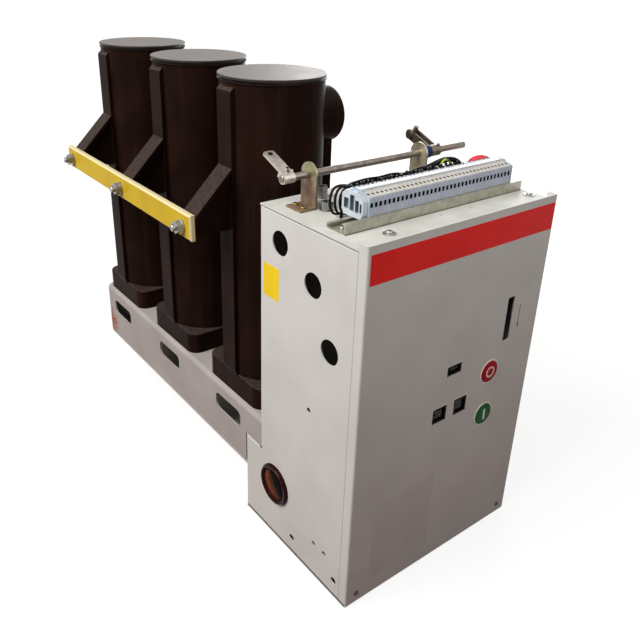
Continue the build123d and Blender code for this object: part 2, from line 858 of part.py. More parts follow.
for name, shape in repeated.items():
    for number, copy in enumerate(at_poles(shape), start=1):
        parts[f"{name}_{number}"] = copy
parts["tie_bolts"] = Compound(at_poles(tie_bolt()))

os.makedirs("parts", exist_ok=True)
for name, shape in parts.items():
    export_step(shape, f"parts/{name}.step")
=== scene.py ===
"""The looks of a vacuum circuit breaker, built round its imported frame."""

import math
import random

import bmesh
import bpy
from mathutils import Matrix, Vector


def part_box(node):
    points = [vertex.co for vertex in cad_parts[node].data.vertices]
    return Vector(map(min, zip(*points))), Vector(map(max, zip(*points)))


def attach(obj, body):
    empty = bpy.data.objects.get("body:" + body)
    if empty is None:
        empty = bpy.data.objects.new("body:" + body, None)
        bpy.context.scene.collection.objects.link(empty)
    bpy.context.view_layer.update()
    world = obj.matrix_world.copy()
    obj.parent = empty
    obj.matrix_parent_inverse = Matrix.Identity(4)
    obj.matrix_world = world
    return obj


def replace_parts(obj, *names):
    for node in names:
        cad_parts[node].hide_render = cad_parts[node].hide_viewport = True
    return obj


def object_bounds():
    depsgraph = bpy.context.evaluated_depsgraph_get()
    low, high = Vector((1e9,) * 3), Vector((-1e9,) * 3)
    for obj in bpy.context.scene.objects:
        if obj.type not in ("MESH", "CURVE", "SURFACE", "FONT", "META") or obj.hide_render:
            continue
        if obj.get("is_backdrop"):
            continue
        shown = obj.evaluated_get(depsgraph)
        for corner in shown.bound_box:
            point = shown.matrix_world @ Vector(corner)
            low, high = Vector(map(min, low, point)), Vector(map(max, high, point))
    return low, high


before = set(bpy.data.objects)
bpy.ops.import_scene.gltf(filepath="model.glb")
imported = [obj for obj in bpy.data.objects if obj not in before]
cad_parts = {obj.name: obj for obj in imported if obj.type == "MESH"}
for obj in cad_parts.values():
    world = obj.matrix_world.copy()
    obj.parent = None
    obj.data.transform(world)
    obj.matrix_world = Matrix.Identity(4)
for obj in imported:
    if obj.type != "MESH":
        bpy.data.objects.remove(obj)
cad_low, cad_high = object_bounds()
MM = 0.001


# Camera
# It stands in front of the housing's left front corner and looks down on it, turned towards
# the row of poles. The shift places the picture's middle beside the lens's axis.

camera_place = Vector((-576.8, -1043.5, 759.6)) * MM
camera_turn = math.radians(-37.263)
camera_tilt = math.radians(90 - 24.116)
camera_roll = math.radians(1.345)
bpy.ops.object.camera_add(location=camera_place)
camera = bpy.context.object
turned = Matrix.Rotation(camera_turn, 4, "Z") @ Matrix.Rotation(camera_tilt, 4, "X")
camera.matrix_world = Matrix.Translation(camera_place) @ turned @ Matrix.Rotation(camera_roll, 4, "Z")
camera.data.sensor_width = 36.0
camera.data.lens = 39.31
camera.data.shift_x = 0.0316
camera.data.shift_y = -0.0771
camera.data.clip_start = 0.01
bpy.context.scene.camera = camera
bpy.context.scene.view_settings.view_transform = "Standard"


# Floor, walls of light and lamps
# A pale studio floor just under the housing, a broad soft lamp high on the left, a weak one in
# front and a fill behind on the right. Floor and world look white, but send little light at the metal.


def linear(colour):
    """The linear values for a colour that is written as sRGB hex."""
    parts = [int(colour[place:place + 2], 16) / 255 for place in (1, 3, 5)]
    return [part / 12.92 if part <= 0.04045 else ((part + 0.055) / 1.055) ** 2.4 for part in parts] + [1.0]


def add(tree, kind, sockets, result=0, **settings):
    """Adds a shader node and gives one of its outputs. A socket takes a value, or another's output."""
    node = tree.nodes.new("ShaderNode" + kind)
    for name, value in settings.items():
        setattr(node, name, value)
    for socket, value in sockets.items():
        if isinstance(value, bpy.types.NodeSocket):
            tree.links.new(value, node.inputs[socket])
        else:
            node.inputs[socket].default_value = value
    return node.outputs[result] if node.outputs else node


def new_finish(name):
    """A new material with no nodes yet, and its node tree."""
    material = bpy.data.materials.new(name)
    material.use_nodes = True
    material.node_tree.nodes.clear()
    return material, material.node_tree


def seen_directly(tree):
    """1 for rays that show the background, straight or in metal or glass, and 0 for light that spreads."""
    straight = add(tree, "LightPath", {}, "Is Camera Ray")
    mirrored = add(tree, "LightPath", {}, "Is Glossy Ray")
    through = add(tree, "LightPath", {}, "Is Transmission Ray")
    either = add(tree, "Math", {0: straight, 1: mirrored}, operation="MAXIMUM")
    return add(tree, "Math", {0: either, 1: through}, operation="MAXIMUM")


world = bpy.data.worlds.new("studio")
bpy.context.scene.world = world
world.use_nodes = True
sky = world.node_tree
sky.nodes.clear()
ambient = add(sky, "Background", {"Color": linear("#F4F5F7"), "Strength": 0.065})
backdrop = add(sky, "Background", {"Color": linear("#FFFFFF"), "Strength": 1.0})
add(sky, "OutputWorld", {"Surface": add(sky, "MixShader", {0: seen_directly(sky), 1: ambient, 2: backdrop})})

floor_reach = 60.0
bpy.ops.mesh.primitive_plane_add(size=floor_reach, location=(0, 0, cad_low.z - 0.2 * MM))
floor = bpy.context.object
floor.name = "studio_floor"
floor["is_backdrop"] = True
floor_paint, tree = new_finish("studio_floor_paint")
here = add(tree, "TexCoord", {}, "Object")
away = add(tree, "VectorMath", {0: here}, "Value", operation="LENGTH")
fade = add(tree, "MapRange", {
    "Value": away, "From Min": 0.6, "From Max": 2.2, "To Min": 0.84, "To Max": 1.0})
lit = add(tree, "BsdfDiffuse", {"Color": linear("#7A7876")})
glow = add(tree, "Emission", {"Color": linear("#FFFFFF"), "Strength": fade})
shown = add(tree, "AddShader", {0: lit, 1: glow})
spread = add(tree, "BsdfDiffuse", {"Color": linear("#6A2E28")})
floor_look = add(tree, "MixShader", {0: seen_directly(tree), 1: spread, 2: shown})
add(tree, "OutputMaterial", {"Surface": floor_look})
floor.data.materials.append(floor_paint)

lamps = (
    ("lamp_left", (-1.7, -0.12, 2.0), 1.5, 78.0),
    ("lamp_front", (0.15, -1.2, 0.95), 0.9, 4.3),
    ("lamp_rear", (1.9, 1.15, 0.95), 1.5, 34.0),
)
aim = Vector((0.0, -0.1, 0.25))
for name, place, size, power in lamps:
    bpy.ops.object.light_add(type="AREA", location=place)
    lamp = bpy.context.object
    lamp.name = name
    lamp.data.size = size
    lamp.data.energy = power
    lamp.rotation_euler = (aim - Vector(place)).to_track_quat("-Z", "Y").to_euler()


# Base channel and mounting plate
# Folded steel sheet of 3 mm, sprayed with light grey polyester powder and baked. The eye sees a fine
# orange peel, a few dull patches where hands have been, dust on flat tops, and rust at the far end.

orange_peel = 2.2 * MM
orange_peel_depth = 0.03 * MM
hand_marks = 90 * MM
dust_drifts = 30 * MM


def coat(node, material):
    """Gives a node of the frame one material all over."""
    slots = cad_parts[node].data.materials
    slots.clear()
    slots.append(material)


def powder_coat(name, dull, bright, dust, rust_place=None, rust_reach=1.0):
    """Grey powder coat that is duller in patches, dusty where it lies flat, and rusty near a place."""
    material, tree = new_finish(name)
    here = add(tree, "TexCoord", {}, "Object")
    clouds = add(tree, "TexNoise", {"Vector": here, "Scale": 1 / hand_marks, "Detail": 3.0})
    patches = add(tree, "MapRange", {"Value": clouds, "From Min": 0.3, "From Max": 0.7})
    paint = add(tree, "Mix", {0: patches, 6: linear(dull), 7: linear(bright)}, 2, data_type="RGBA")
    upward = add(tree, "SeparateXYZ", {0: add(tree, "NewGeometry", {}, "Normal")}, "Z")
    flat = add(tree, "MapRange", {"Value": upward, "From Min": 0.6, "From Max": 0.98})
    drifts = add(tree, "TexNoise", {"Vector": here, "Scale": 1 / dust_drifts, "Detail": 4.0})
    settled = add(tree, "MapRange", {"Value": drifts, "From Min": 0.35, "From Max": 0.7, "To Max": dust})
    cover = add(tree, "Math", {0: flat, 1: settled}, operation="MULTIPLY")
    colour = add(tree, "Mix", {0: cover, 6: paint, 7: linear("#A89F8A")}, 2, data_type="RGBA")
    if rust_place:
        away = add(tree, "VectorMath", {0: here, 1: rust_place}, "Value", operation="DISTANCE")
        near = add(tree, "MapRange", {"Value": away, "From Min": rust_reach, "From Max": 0.4 * rust_reach})
        scabs = add(tree, "TexNoise", {"Vector": here, "Scale": 1 / (7 * MM), "Detail": 5.0})
        through = add(tree, "MapRange", {"Value": scabs, "From Min": 0.4, "From Max": 0.52})
        rusty = add(tree, "Math", {0: near, 1: through}, operation="MULTIPLY")
        colour = add(tree, "Mix", {0: rusty, 6: colour, 7: linear("#9C440C")}, 2, data_type="RGBA")
    peel = add(tree, "TexNoise", {"Vector": here, "Scale": 1 / orange_peel, "Detail": 1.0})
    shader = add(tree, "BsdfPrincipled", {
        "Base Color": colour,
        "Roughness": add(tree, "MapRange", {"Value": clouds, "To Min": 0.34, "To Max": 0.52}),
        "IOR": 1.5,
        "Specular IOR Level": 0.04,
        "Normal": add(tree, "Bump", {"Height": peel, "Distance": orange_peel_depth}),
    })
    add(tree, "OutputMaterial", {"Surface": shader})
    return material


chipped_corner = Vector((-83.5, 272.0, 28.0)) * MM
chip_reach = 30 * MM
# The channel's grey is written darker and pinker than the housing's same powder: a painted shade for the
# dimmer light low on the breaker. Its dust and rust are real.
channel_coat_painted_shade = powder_coat("powder_coat_channel_painted_shade", "#A29B96", "#B0A9A3", 0.25, chipped_corner, chip_reach)
coat("base_channel", channel_coat_painted_shade)
coat("mounting_plate", powder_coat("powder_coat_plate", "#BFBCB6", "#CBC8C2", 0.1))


# Poles
# Each pole is cast in epoxy resin round its interrupter: dark chocolate brown, half glossy from the
# polished mould, with faint streaks down its side and grey dust on the sloping arms.

epoxy, tree = new_finish("cast_epoxy_resin")
here = add(tree, "TexCoord", {}, "Object")
clouds = add(tree, "TexNoise", {"Vector": here, "Scale": 1 / (60 * MM), "Detail": 3.0})
patches = add(tree, "MapRange", {"Value": clouds, "From Min": 0.3, "From Max": 0.7})
resin = add(tree, "Mix", {0: patches, 6: linear("#1B100C"), 7: linear("#241510")}, 2, data_type="RGBA")
drawn = add(tree, "Mapping", {"Vector": here, "Scale": (1, 1, 0.08)})
streaks = add(tree, "TexNoise", {"Vector": drawn, "Scale": 1 / (14 * MM), "Detail": 2.0})
faint = add(tree, "MapRange", {"Value": streaks, "From Min": 0.5, "From Max": 0.8, "To Max": 0.4})
streaked = add(tree, "Mix", {0: faint, 6: resin, 7: linear("#38241C")}, 2, data_type="RGBA")
upward = add(tree, "SeparateXYZ", {0: add(tree, "NewGeometry", {}, "Normal")}, "Z")
sloping = add(tree, "MapRange", {"Value": upward, "From Min": 0.35, "From Max": 0.75})
grains = add(tree, "TexNoise", {"Vector": here, "Scale": 1 / (6 * MM), "Detail": 4.0})
film = add(tree, "MapRange", {
    "Value": grains, "From Min": 0.2, "From Max": 0.8, "To Min": 0.1, "To Max": 0.35})
dusted = add(tree, "Math", {0: sloping, 1: film}, operation="MULTIPLY")
ripple = add(tree, "TexNoise", {"Vector": here, "Scale": 1 / (5 * MM), "Detail": 2.0})
shader = add(tree, "BsdfPrincipled", {
    "Base Color": add(tree, "Mix", {0: dusted, 6: streaked, 7: linear("#6E625B")}, 2, data_type="RGBA"),
    "Roughness": add(tree, "MapRange", {"Value": clouds, "To Min": 0.24, "To Max": 0.38}),
    "IOR": 1.5,
    "Specular IOR Level": 0.012,
    "Normal": add(tree, "Bump", {"Height": ripple, "Distance": 0.03 * MM}),
})
add(tree, "OutputMaterial", {"Surface": shader})
for number in (1, 2, 3):
    coat(f"pole_{number}", epoxy)


# Pole caps
# A thin disc of pressed laminate closes each pole. Its top carries a film of grey-brown dust, and
# its neck stays dark in the gap above the collar.

cap_board, tree = new_finish("pressed_laminate_cap")
here = add(tree, "TexCoord", {}, "Object")
clouds = add(tree, "TexNoise", {"Vector": here, "Scale": 1 / (40 * MM), "Detail": 3.0})
board = add(tree, "Mix", {0: clouds, 6: linear("#221A17"), 7: linear("#2E2521")}, 2, data_type="RGBA")
upward = add(tree, "SeparateXYZ", {0: add(tree, "NewGeometry", {}, "Normal")}, "Z")
flat = add(tree, "MapRange", {"Value": upward, "From Min": 0.6, "From Max": 0.95})
drifts = add(tree, "TexNoise", {"Vector": here, "Scale": 1 / (25 * MM), "Detail": 5.0})
film = add(tree, "MapRange", {
    "Value": drifts, "From Min": 0.3, "From Max": 0.7, "To Min": 0.5, "To Max": 0.85})
dusted = add(tree, "Math", {0: flat, 1: film}, operation="MULTIPLY")
grain = add(tree, "TexNoise", {"Vector": here, "Scale": 1 / (1.5 * MM), "Detail": 3.0})
shader = add(tree, "BsdfPrincipled", {
    "Base Color": add(tree, "Mix", {0: dusted, 6: board, 7: linear("#78706A")}, 2, data_type="RGBA"),
    "Roughness": add(tree, "MapRange", {"Value": drifts, "To Min": 0.36, "To Max": 0.55}),
    "IOR": 1.5,
    "Specular IOR Level": 0.2,
    "Normal": add(tree, "Bump", {"Height": grain, "Distance": 0.02 * MM}),
})
add(tree, "OutputMaterial", {"Surface": shader})
for number in (1, 2, 3):
    coat(f"pole_cap_{number}", cap_board)


# Terminal contacts
# Round copper blocks seated in the poles' bosses, turned on a lathe and tinned. The eye sees a warm,
# soft shine with cloudy patches and the fine marks that the tool left.

copper, tree = new_finish("turned_tinned_copper")
here = add(tree, "TexCoord", {}, "Object")
clouds = add(tree, "TexNoise", {"Vector": here, "Scale": 1 / (12 * MM), "Detail": 3.0})
marks = add(tree, "TexNoise", {"Vector": here, "Scale": 1 / (1.2 * MM), "Detail": 2.0})
tinned = add(tree, "Mix", {0: clouds, 6: linear("#B07C64"), 7: linear("#C9A08A")}, 2, data_type="RGBA")
shader = add(tree, "BsdfPrincipled", {
    "Base Color": tinned,
    "Metallic": 1.0,
    "Roughness": add(tree, "MapRange", {"Value": clouds, "To Min": 0.26, "To Max": 0.44}),
    "Normal": add(tree, "Bump", {"Height": marks, "Distance": 0.01 * MM}),
})
add(tree, "OutputMaterial", {"Surface": shader})
for number in (1, 2, 3):
    coat(f"upper_contact_{number}", copper)
    coat(f"lower_contact_{number}", copper)


# Tie bar
# A flat bar of ochre glass-epoxy laminate, sawn to size. Its bevelled and sawn edges are pale
# because the broken glass fibres scatter the light.

laminate, tree = new_finish("glass_epoxy_laminate")
here = add(tree, "TexCoord", {}, "Object")
clouds = add(tree, "TexNoise", {"Vector": here, "Scale": 1 / (70 * MM), "Detail": 4.0})
patches = add(tree, "MapRange", {"Value": clouds, "From Min": 0.3, "From Max": 0.7})
face = add(tree, "Mix", {0: patches, 6: linear("#BA9A0F"), 7: linear("#CCAE1A")}, 2, data_type="RGBA")
outward = add(tree, "SeparateXYZ", {0: add(tree, "NewGeometry", {}, "Normal")}, "X")
sawn = add(tree, "MapRange", {"Value": outward, "From Min": -0.98, "From Max": -0.8})
along = add(tree, "Mapping", {"Vector": here, "Scale": (1, 0.25, 1)})
weave = add(tree, "TexNoise", {"Vector": along, "Scale": 1 / (1.0 * MM), "Detail": 2.0})
shader = add(tree, "BsdfPrincipled", {
    "Base Color": add(tree, "Mix", {0: sawn, 6: face, 7: linear("#D8CA9C")}, 2, data_type="RGBA"),
    "Roughness": add(tree, "MapRange", {"Value": clouds, "To Min": 0.32, "To Max": 0.5}),
    "IOR": 1.5,
    "Specular IOR Level": 0.08,
    "Normal": add(tree, "Bump", {"Height": weave, "Distance": 0.03 * MM}),
})
add(tree, "OutputMaterial", {"Surface": shader})
coat("tie_bar", laminate)


# Tie bolts
# Steel studs with washers and nuts hold the bar on the arms. Their bright zinc plating has a thin
# crystal film, which breaks up the shine.


def zinc_plated(name, dark, light, roughness, rust=0.0, rust_below=None):
    """Zinc plated steel with cloudy film, and rust over a share of it, or only below a height."""
    material, tree = new_finish(name)
    here = add(tree, "TexCoord", {}, "Object")
    clouds = add(tree, "TexNoise", {"Vector": here, "Scale": 1 / (9 * MM), "Detail": 3.0})
    patches = add(tree, "MapRange", {"Value": clouds, "From Min": 0.3, "From Max": 0.7})
    film = add(tree, "Mix", {0: patches, 6: linear(dark), 7: linear(light)}, 2, data_type="RGBA")
    scabs = add(tree, "TexNoise", {"Vector": here, "Scale": 1 / (11 * MM), "Detail": 6.0})
    broken = add(tree, "MapRange", {"Value": scabs, "From Min": 0.7 - rust, "From Max": 1.0 - rust})
    rust_fade = 12 * MM
    if rust_below:
        height = add(tree, "SeparateXYZ", {0: here}, "Z")
        low = add(tree, "MapRange", {
            "Value": height, "From Min": rust_below, "From Max": rust_below - rust_fade})
        broken = add(tree, "Math", {0: broken, 1: low}, operation="MULTIPLY")
    crystals = add(tree, "TexNoise", {"Vector": here, "Scale": 1 / (0.8 * MM), "Detail": 3.0})
    shader = add(tree, "BsdfPrincipled", {
        "Base Color": add(tree, "Mix", {0: broken, 6: film, 7: linear("#7E5F4E")}, 2, data_type="RGBA"),
        "Metallic": add(tree, "MapRange", {"Value": broken, "To Min": 0.85, "To Max": 0.0}),
        "Roughness": add(tree, "MapRange", {
            "Value": clouds, "To Min": roughness - 0.08, "To Max": roughness + 0.1}),
        "Normal": add(tree, "Bump", {"Height": crystals, "Distance": 0.015 * MM}),
    })
    add(tree, "OutputMaterial", {"Surface": shader})
    return material


bright_zinc = zinc_plated("bright_zinc_plated_steel", "#7C7A75", "#A9A7A1", 0.26)
coat("tie_bolts", bright_zinc)


# Housing
# A box of 2 mm steel sheet with folded edges, sprayed light grey like the channel. The front cover
# is a shallow tray screwed over its open front.

housing_coat = powder_coat("powder_coat_housing", "#C9C9C2", "#D3D3CC", 0.3)
for node in ("left_side_panel", "right_side_panel", "top_plate", "back_plate", "bottom_plate", "front_cover"):
    coat(node, housing_coat)


# Stripe and plates on the housing
# A red printed film across the cover's head, a blank film low on the cover, and a bare yellow
# plate stuck on the left side beside the lifting holes. Their corners are cut round.

cover_face = -521.0
side_face = -84.5
film_thickness = 0.2


def deselect():
    """Clears the selection, which an operator would act on."""
    bpy.ops.object.select_all(action="DESELECT")


def block(name, low, high):
    """Adds a block between two corners in millimetres and opens it for editing."""
    deselect()
    low, high = Vector(low) * MM, Vector(high) * MM
    bpy.ops.mesh.primitive_cube_add(size=1, location=(low + high) / 2, scale=high - low)
    bpy.ops.object.transform_apply()
    bpy.context.object.name = name
    bpy.ops.object.mode_set(mode="EDIT")
    return bpy.context.object


def round_bar(name, start, end, radius, corners=32):
    """Adds a round bar between two places in millimetres and opens it for editing."""
    deselect()
    start, end = Vector(start) * MM, Vector(end) * MM
    turn = (end - start).to_track_quat("Z", "Y").to_euler()
    length = (end - start).length
    bpy.ops.mesh.primitive_cylinder_add(
        vertices=corners, radius=radius * MM, depth=length, location=(start + end) / 2, rotation=turn)
    bpy.ops.object.transform_apply()
    bpy.context.object.name = name
    bpy.ops.object.mode_set(mode="EDIT")
    return bpy.context.object


def pick(kind, test):
    """Selects only the faces or edges whose middle, in millimetres, and direction pass a test."""
    bpy.ops.mesh.select_mode(type=kind)
    bpy.ops.mesh.select_all(action="DESELECT")
    mesh = bmesh.from_edit_mesh(bpy.context.object.data)
    if kind == "FACE":
        for face in mesh.faces:
            face.select_set(bool(test(face.calc_center_median() / MM, face.normal)))
    else:
        for edge in mesh.edges:
            first, second = edge.verts
            way = (second.co - first.co).normalized()
            edge.select_set(bool(test((first.co + second.co) / 2 / MM, way)))
    mesh.select_flush_mode()
    bmesh.update_edit_mesh(bpy.context.object.data)


def finish_piece(piece, material, body="breaker_frame", angle=35):
    """Leaves edit mode, shades the piece, and says its material and the body it rides on."""
    if bpy.context.object and bpy.context.object.mode == "EDIT":
        bpy.ops.object.mode_set(mode="OBJECT")
    deselect()
    piece.select_set(True)
    bpy.context.view_layer.objects.active = piece
    bpy.ops.object.shade_smooth_by_angle(angle=math.radians(angle))
    if not any(piece.data.materials):
        piece.data.materials.clear()
        piece.data.materials.append(material)
    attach(piece, body)


def sticker(name, low, high, corner, material, body="breaker_frame"):
    """A thin film between two corners, with round corners and an edge that stands up a hair."""
    thin = min(range(3), key=lambda axis: high[axis] - low[axis])
    piece = block(name, low, high)
    pick("EDGE", lambda middle, way: abs(way[thin]) > 0.9)
    bpy.ops.mesh.bevel(offset=corner * MM, segments=4)
    pick("FACE", lambda middle, normal: abs(normal[thin]) > 0.9)
    bpy.ops.mesh.inset(thickness=0.5 * MM)
    finish_piece(piece, material, body)
    return piece


def printed_film(name, main, faded, roughness, shine=0.12):
    """Screen printed vinyl film: even colour that has faded in clouds, with a smooth skin."""
    material, tree = new_finish(name)
    here = add(tree, "TexCoord", {}, "Object")
    clouds = add(tree, "TexNoise", {"Vector": here, "Scale": 1 / (55 * MM), "Detail": 4.0})
    patches = add(tree, "MapRange", {"Value": clouds, "From Min": 0.35, "From Max": 0.7})
    creases = add(tree, "TexNoise", {"Vector": here, "Scale": 1 / (12 * MM), "Detail": 1.0})
    shader = add(tree, "BsdfPrincipled", {
        "Base Color": add(tree, "Mix", {0: patches, 6: linear(main), 7: linear(faded)}, 2, data_type="RGBA"),
        "Roughness": add(tree, "MapRange", {
            "Value": clouds, "To Min": roughness - 0.06, "To Max": roughness + 0.1}),
        "IOR": 1.5,
        "Specular IOR Level": shine,
        "Normal": add(tree, "Bump", {"Height": creases, "Distance": 0.05 * MM}),
    })
    add(tree, "OutputMaterial", {"Surface": shader})
    return material


film_front = cover_face - film_thickness
sticker("head_stripe", (-79.5, film_front, 420.0), (262.0, cover_face, 459.0), 1.0,
        printed_film("red_printed_film", "#E0201C", "#EA2C26", 0.42))
sticker("blank_film", (-41.5, cover_face - 0.1, -57.0), (75.5, cover_face, 78.0), 3.0,
        printed_film("clear_matt_film", "#C6C6BF", "#D0D0C9", 0.5, 0.04))
sticker("yellow_plate", (side_face - film_thickness, -350.5, 331.0), (side_face, -314.5, 379.5), 1.5,
        printed_film("yellow_printed_film", "#E9C414", "#F2D022", 0.4))


# Charging arrow
# A thin arrow screen printed in black beside the charging slot, which shows the lever's stroke. The
# ink is matt and stands up a hair.

black_print = printed_film("black_screen_print", "#1C1B1A", "#262524", 0.5)
arrow = block("charging_arrow", (219.5, film_front + 0.1, 283.0), (220.5, cover_face, 313.0))
pick("FACE", lambda middle, normal: normal.z < -0.9)
bpy.ops.mesh.extrude_region_move(TRANSFORM_OT_translate={"value": (0, 0, -0.5 * MM)})
bpy.ops.transform.resize(value=(3.6, 1, 1))
bpy.ops.mesh.extrude_region_move(TRANSFORM_OT_translate={"value": (0, 0, -8.0 * MM)})
bpy.ops.transform.resize(value=(0.08, 1, 1))
finish_piece(arrow, black_print)


# Windows
# Panes of clear acrylic behind the cover's cut-outs, and black moulded boxes behind the panes. A
# black rubber gasket with a thin pale bead round it edges each cut-out. Smears dull the panes a little.


def opened(thin, border):
    """Turns the piece in edit mode into a frame: both end faces are inset, cut out and bridged."""
    pick("FACE", lambda middle, normal: abs(normal[thin]) > 0.9)
    bpy.ops.mesh.inset(thickness=border * MM, use_individual=True)
    bpy.ops.mesh.delete(type="FACE")
    bpy.ops.mesh.select_mode(type="EDGE")
    bpy.ops.mesh.select_all(action="DESELECT")
    bpy.ops.mesh.select_non_manifold(extend=False)
    bpy.ops.mesh.bridge_edge_loops()


def moulded(name, dark, light, roughness, shine=0.25):
    """Injection moulded plastic with the mould's fine erosion, and clouds of slightly duller skin."""
    material, tree = new_finish(name)
    here = add(tree, "TexCoord", {}, "Object")
    clouds = add(tree, "TexNoise", {"Vector": here, "Scale": 1 / (20 * MM), "Detail": 3.0})
    patches = add(tree, "MapRange", {"Value": clouds, "From Min": 0.3, "From Max": 0.7})
    skin = add(tree, "TexNoise", {"Vector": here, "Scale": 1 / (1.5 * MM), "Detail": 3.0})
    shader = add(tree, "BsdfPrincipled", {
        "Base Color": add(tree, "Mix", {0: patches, 6: linear(dark), 7: linear(light)}, 2, data_type="RGBA"),
        "Roughness": add(tree, "MapRange", {
            "Value": clouds, "To Min": roughness - 0.06, "To Max": roughness + 0.1}),
        "IOR": 1.5,
        "Specular IOR Level": shine,
        "Normal": add(tree, "Bump", {"Height": skin, "Distance": 0.015 * MM}),
    })
    add(tree, "OutputMaterial", {"Surface": shader})
    return material


windows = {
    "counter": (90.5, 250.0, 24.0, 11.0),
    "spring": (70.0, 183.5, 23.0, 20.0),
    "contact": (112.0, 183.5, 21.5, 21.5),
}
gasket_width = 2.0
gasket_lip = 0.6
gasket_depth = 1.9
bead_width = 0.9
gasket_rubber = moulded("black_gasket_rubber", "#080808", "#0E0E0D", 0.6, 0.05)
bead_paint = printed_film("pale_window_bead", "#D2D0C9", "#DAD8D1", 0.45)
for name, (x, z, width, height) in windows.items():
    for kind, border, reach, proud, depth, material in (
            ("gasket", gasket_width + gasket_lip, gasket_width, 0.4, gasket_depth, gasket_rubber),
            ("bead", bead_width, gasket_width + bead_width, 0.3, 0.0, bead_paint)):
        half_width, half_height = width / 2 + reach, height / 2 + reach
        edging = block(f"{name}_{kind}", (x - half_width, cover_face - proud, z - half_height),
                       (x + half_width, cover_face + depth, z + half_height))
        opened(1, border)
        finish_piece(edging, material)

pane, tree = new_finish("clear_acrylic_pane")
here = add(tree, "TexCoord", {}, "Object")
smears = add(tree, "TexNoise", {"Vector": here, "Scale": 1 / (6 * MM), "Detail": 3.0})
shader = add(tree, "BsdfPrincipled", {
    "Base Color": linear("#D5DADA"),
    "Roughness": add(tree, "MapRange", {"Value": smears, "To Min": 0.02, "To Max": 0.1}),
    "IOR": 1.12,
    "Specular IOR Level": 0.1,
    "Transmission Weight": 1.0,
})
add(tree, "OutputMaterial", {"Surface": shader})
coat("window_panes", pane)
flag_black = moulded("black_flag_plastic", "#050505", "#0A0A09", 0.6, 0.05)
for node in ("operation_counter", "spring_indicator", "contact_indicator", "button_guides"):
    coat(node, flag_black)


# Push buttons
# Moulded discs with a raised middle and a printed mark: a pale ring for off on the red one, a pale
# bar for on on the green one. A grey bezel with a pale lip fills each opening round its button.

button_face = -523.5
button_x = 169.5
off_z = 218.5
on_z = 145.0
disc_radius = 17.2
lip_width = 1.5
opening_radius = 20.4
ring_pink = moulded("pink_mark_paint", "#ECBDB6", "#F2C9C2", 0.4, 0.1)
bar_white = moulded("white_mark_paint", "#E2EEE6", "#EEF6F0", 0.4, 0.1)
bezel_grey = moulded("grey_bezel_plastic", "#C4C4BD", "#CFCFC8", 0.45)
lip_white = moulded("pale_lip_plastic", "#F0EBDD", "#F6F2E6", 0.4)
for name, z, colours, node, slot, body in (
        ("off_button", off_z, ("#8E0A16", "#A2101E"), "open_button", "button_red", "opening_button"),
        ("on_button", on_z, ("#125224", "#18642E"), "close_button", "button_green", "closing_button")):
    disc = round_bar(name, (button_x, cover_face + 6.5, z),
                     (button_x, button_face + 0.9, z), disc_radius, 64)
    pick("FACE", lambda middle, normal: normal.y < -0.9)
    bpy.ops.mesh.bevel(offset=0.7 * MM, segments=3)
    pick("FACE", lambda middle, normal: normal.y < -0.99)
    bpy.ops.mesh.inset(thickness=3.4 * MM)
    bpy.ops.mesh.extrude_region_move(TRANSFORM_OT_translate={"value": (0, -0.6 * MM, 0)})
    bpy.ops.transform.resize(value=(0.96, 1, 0.96))
    finish_piece(disc, moulded(f"{name}_plastic", colours[0], colours[1], 0.3, 0.03), body)
    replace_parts(disc, node)
    bezel = round_bar(f"{name}_bezel", (button_x, cover_face + 1.8, z), (button_x, cover_face - 0.1, z),
                      opening_radius, 64)
    opened(1, opening_radius - disc_radius - lip_width)
    finish_piece(bezel, bezel_grey)
    lip = round_bar(f"{name}_lip", (button_x, cover_face + 1.8, z), (button_x, cover_face - 0.8, z),
                    disc_radius + 1.8, 64)
    opened(1, lip_width)
    finish_piece(lip, lip_white)
mark_reach = 9.0
ring = round_bar("off_ring", (button_x, button_face + 0.5, off_z),
                 (button_x, button_face, off_z), mark_reach, 48)
opened(1, 2.9)
finish_piece(ring, ring_pink, "opening_button")
bar = block("on_bar", (button_x - 2.0, button_face, on_z - mark_reach),
            (button_x + 2.0, button_face + 0.5, on_z + mark_reach))
pick("EDGE", lambda middle, way: abs(way.y) > 0.9)
bpy.ops.mesh.bevel(offset=1.4 * MM, segments=3)
finish_piece(bar, bar_white, "closing_button")


# Pan head screws
# Cross-recessed screws of zinc plated steel with turned washers, on the top plate, on the rail and
# on the brackets' feet. One is modelled and copied. The two on the cover are dull and dark.

top_face = 461.0
washer_thickness = 1.2
bracket_sheet = 3.0
rail_sheet = 1.5
cover_screw_z = -69.0
cover_screw_sink = 1.2


def cut_out(piece, cutter):
    """Cuts one piece's shape out of another and throws the cutter away."""
    deselect()
    bpy.context.view_layer.objects.active = piece
    piece.select_set(True)
    cut = piece.modifiers.new("cut", "BOOLEAN")
    cut.operation = "DIFFERENCE"
    cut.solver = "EXACT"
    cut.material_mode = "TRANSFER"
    cut.object = cutter
    bpy.ops.object.modifier_apply(modifier=cut.name)
    bpy.data.objects.remove(cutter)


def joined(pieces):
    """Joins pieces into the first of them."""
    deselect()
    for piece in pieces:
        piece.select_set(True)
    bpy.context.view_layer.objects.active = pieces[0]
    bpy.ops.object.join()
    return pieces[0]


def copy_of(model, name, matrix):
    """A copy of a model with its own mesh, which the matrix puts in its place."""
    copy = model.copy()
    copy.data = model.data.copy()
    copy.name = name
    copy.data.transform(matrix)
    bpy.context.collection.objects.link(copy)
    return copy


def standing(place, way):
    """The matrix that stands what is on the origin at a place in millimetres, along a direction."""
    turn = Vector(way).to_track_quat("Z", "Y").to_matrix().to_4x4()
    return Matrix.Translation(Vector(place) * MM) @ turn


